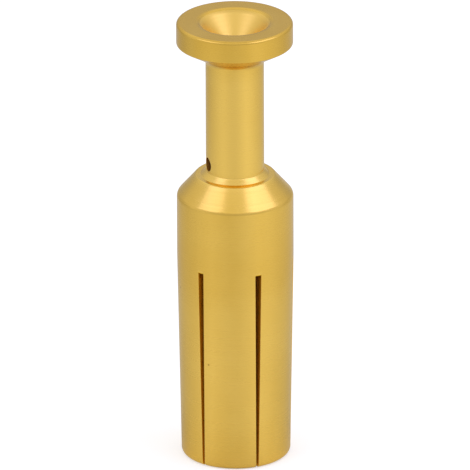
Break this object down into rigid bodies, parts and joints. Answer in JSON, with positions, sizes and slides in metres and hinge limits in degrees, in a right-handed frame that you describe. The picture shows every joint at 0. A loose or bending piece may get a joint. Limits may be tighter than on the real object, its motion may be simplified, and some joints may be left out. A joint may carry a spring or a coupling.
{
  "type": "crimp socket contact",
  "caption": "Turned gold-plated electrical contact: a flanged crimp barrel for a wire at one end and a slotted spring socket for a round pin at the other.",
  "frame": {"origin": "on the contact's axis, in the plane of the open socket end that it stands on", "axes": "+Z along the contact's axis, from the open socket end to the wire funnel; +X to the right and -Y to the front as the picture shows it"},
  "size_m": [0.005, 0.005, 0.0198],
  "materials": {
    "gold_plating": "satin gold plating over turned brass"
  },
  "bodies": {
    "root": {"socket_contact": "gold_plating"}
  },
  "joints": []
}
